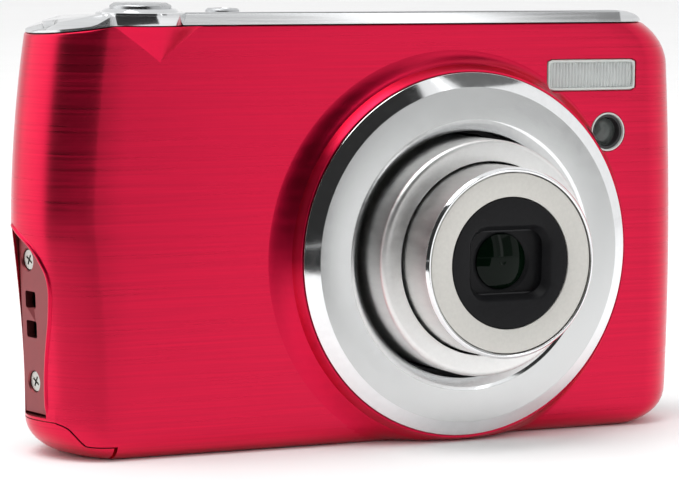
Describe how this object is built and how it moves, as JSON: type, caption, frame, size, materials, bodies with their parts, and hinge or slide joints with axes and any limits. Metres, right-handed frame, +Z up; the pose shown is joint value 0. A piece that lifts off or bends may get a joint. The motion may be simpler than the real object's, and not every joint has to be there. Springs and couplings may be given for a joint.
{
  "type": "compact digital camera",
  "caption": "Slim compact digital camera with a two-stage retracting zoom lens in a wide metal ring, flash, display, keys and a wrap-round battery door.",
  "frame": {"origin": "mouth of the tripod socket in the base, which is also the middle of the body's width and depth", "axes": "+X to the right seen from the front, +Y to the back, the lens faces -Y, +Z up"},
  "size_m": [0.096, 0.0364, 0.0582],
  "materials": {
    "red_case": "brushed anodised red aluminium",
    "back_cover": "fine-textured dark red plastic",
    "silver_cap": "satin silver",
    "grip_panel": "satin maroon plastic",
    "screw_steel": "small bright screws",
    "stamped_steel": "thin stamped sheet",
    "inner_plastic": "moulded black",
    "cell_wrap": "plain wrapped cell",
    "contact_brass": "gold-coloured springs",
    "latch_plastic": "orange plastic",
    "card_plastic": "plain card",
    "satin_ring": "spun satin face with polished bevels",
    "seal_rubber": "black",
    "lens_glass": "coated optical glass",
    "sensor": "sensor cover",
    "barrel_metal": "satin silver",
    "face_metal": "warm fine satin",
    "black_plastic": "black",
    "blade_black": "thin black blade",
    "flash_clear": "ribbed clear plastic",
    "reflector": "bright reflector",
    "tube_glass": "clear tube",
    "lamp_clear": "clear domed plastic",
    "button_metal": "satin chrome",
    "spring_steel": "coil spring",
    "lcd_glass": "glossy black window",
    "lcd_module": "display module",
    "key_metal": "silver painted plastic",
    "key_red": "red plastic",
    "board_green": "circuit board",
    "nut_metal": "threaded insert",
    "flap_rubber": "soft rubber flap",
    "led_clear": "small light"
  },
  "bodies": {
    "camera_body": {"front_shell": "red_case", "rear_cover": "back_cover", "top_plate": "silver_cap", "strap_panel": "grip_panel", "panel_screws": "screw_steel", "base_screws": "screw_steel", "door_hinge_pin": "stamped_steel", "battery_box": "inner_plastic", "battery": "cell_wrap", "battery_contacts": "contact_brass", "sd_slot": "stamped_steel", "sd_card": "card_plastic", "lens_ring": "satin_ring", "barrel_seal": "seal_rubber", "lens_block": "inner_plastic", "zoom_motor": "stamped_steel", "focus_lens_group": "lens_glass", "image_sensor": "sensor", "flash_window": "flash_clear", "flash_reflector": "reflector", "flash_tube": "tube_glass", "flash_capacitor": "inner_plastic", "af_lamp_lens": "lamp_clear", "af_lamp_holder": "black_plastic", "shutter_spring": "spring_steel", "lcd_window": "lcd_glass", "lcd_panel": "lcd_module", "keypad_board": "board_green", "main_board": "board_green", "chassis": "stamped_steel", "tripod_nut": "nut_metal", "speaker": "inner_plastic", "usb_port": "stamped_steel", "status_led": "led_clear"},
    "outer_barrel": {"outer_barrel": "barrel_metal"},
    "inner_barrel": {"inner_barrel": "barrel_metal", "front_bezel": "face_metal", "face_disc": "black_plastic", "front_lens": "lens_glass", "lens_holder": "black_plastic"},
    "blade_upper": {"barrier_blade_upper": "blade_black"},
    "blade_lower": {"barrier_blade_lower": "blade_black"},
    "shutter_button": {"shutter_button": "button_metal"},
    "power_button": {"power_button": "button_metal"},
    "zoom_rocker": {"zoom_rocker": "key_metal"},
    "dpad_gimbal": {"dpad_gimbal": "seal_rubber"},
    "dpad_ring": {"dpad_ring": "key_metal"},
    "ok_key": {"ok_key": "key_metal"},
    "menu_key": {"menu_key": "key_metal"},
    "play_key": {"play_key": "key_metal"},
    "delete_key": {"delete_key": "key_metal"},
    "mode_key": {"mode_key": "key_metal"},
    "record_key": {"record_key": "key_red"},
    "door_bracket": {"door_hinge_bracket": "stamped_steel"},
    "battery_door": {"battery_door": "red_case"},
    "battery_latch": {"battery_latch": "latch_plastic"},
    "usb_cover": {"usb_cover": "flap_rubber"}
  },
  "joints": [
    {"name": "zoom_outer", "type": "slide", "parent": "camera_body", "child": "outer_barrel", "axis": [0, -1, 0], "range_m": [-0.0043, 0.005]},
    {"name": "zoom_inner", "type": "slide", "parent": "outer_barrel", "child": "inner_barrel", "axis": [0, -1, 0], "range_m": [-0.006, 0.00696]},
    {"name": "blade_upper_slide", "type": "slide", "parent": "inner_barrel", "child": "blade_upper", "axis": [0, 0, -1], "range_m": [0, 0.00395]},
    {"name": "blade_lower_slide", "type": "slide", "parent": "inner_barrel", "child": "blade_lower", "axis": [0, 0, 1], "range_m": [0, 0.00395]},
    {"name": "shutter_press", "type": "slide", "parent": "camera_body", "child": "shutter_button", "axis": [0, 0, -1], "range_m": [0, 0.0009], "stiffness_N_per_m": 500},
    {"name": "power_press", "type": "slide", "parent": "camera_body", "child": "power_button", "axis": [0, 0, -1], "range_m": [0, 0.0003], "stiffness_N_per_m": 800},
    {"name": "zoom_rock", "type": "hinge", "parent": "camera_body", "child": "zoom_rocker", "pos_m": [-0.0316, 0.0093, 0.0493], "axis": [0, 0, 1], "range_deg": [-4, 4], "stiffness_Nm_per_rad": 0.04},
    {"name": "dpad_left_right", "type": "hinge", "parent": "camera_body", "child": "dpad_gimbal", "pos_m": [-0.0296, 0.0079, 0.024], "axis": [0, 0, 1], "range_deg": [-2.5, 2.5], "stiffness_Nm_per_rad": 0.03},
    {"name": "dpad_up_down", "type": "hinge", "parent": "dpad_gimbal", "child": "dpad_ring", "pos_m": [-0.0296, 0.0079, 0.024], "axis": [1, 0, 0], "range_deg": [-2.5, 2.5], "stiffness_Nm_per_rad": 0.03},
    {"name": "ok_press", "type": "slide", "parent": "camera_body", "child": "ok_key", "axis": [0, -1, 0], "range_m": [0, 0.0004], "stiffness_N_per_m": 600},
    {"name": "menu_press", "type": "slide", "parent": "camera_body", "child": "menu_key", "axis": [0, -1, 0], "range_m": [0, 0.0004], "stiffness_N_per_m": 600},
    {"name": "play_press", "type": "slide", "parent": "camera_body", "child": "play_key", "axis": [0, -1, 0], "range_m": [0, 0.0004], "stiffness_N_per_m": 600},
    {"name": "delete_press", "type": "slide", "parent": "camera_body", "child": "delete_key", "axis": [0, -1, 0], "range_m": [0, 0.0004], "stiffness_N_per_m": 600},
    {"name": "mode_press", "type": "slide", "parent": "camera_body", "child": "mode_key", "axis": [0, -1, 0], "range_m": [0, 0.0004], "stiffness_N_per_m": 600},
    {"name": "record_press", "type": "slide", "parent": "camera_body", "child": "record_key", "axis": [0, -1, 0], "range_m": [0, 0.0004], "stiffness_N_per_m": 600},
    {"name": "door_swing", "type": "hinge", "parent": "camera_body", "child": "door_bracket", "pos_m": [-0.0086, 0, 0.0023], "axis": [0, -1, 0], "range_deg": [0, 80]},
    {"name": "door_unlock", "type": "slide", "parent": "door_bracket", "child": "battery_door", "axis": [-1, 0, 0], "range_m": [0, 0.002]},
    {"name": "latch_release", "type": "slide", "parent": "camera_body", "child": "battery_latch", "axis": [0, 1, 0], "range_m": [0, 0.0012], "stiffness_N_per_m": 150},
    {"name": "usb_flap", "type": "hinge", "parent": "camera_body", "child": "usb_cover", "pos_m": [0.048, -0.0034, 0.03], "axis": [0, 0, -1], "range_deg": [0, 100]}
  ],
  "couplings": [
    {"joint": "zoom_inner", "follows": "zoom_outer", "ratio": 1.39},
    {"joint": "blade_lower_slide", "follows": "blade_upper_slide", "ratio": 1}
  ]
}
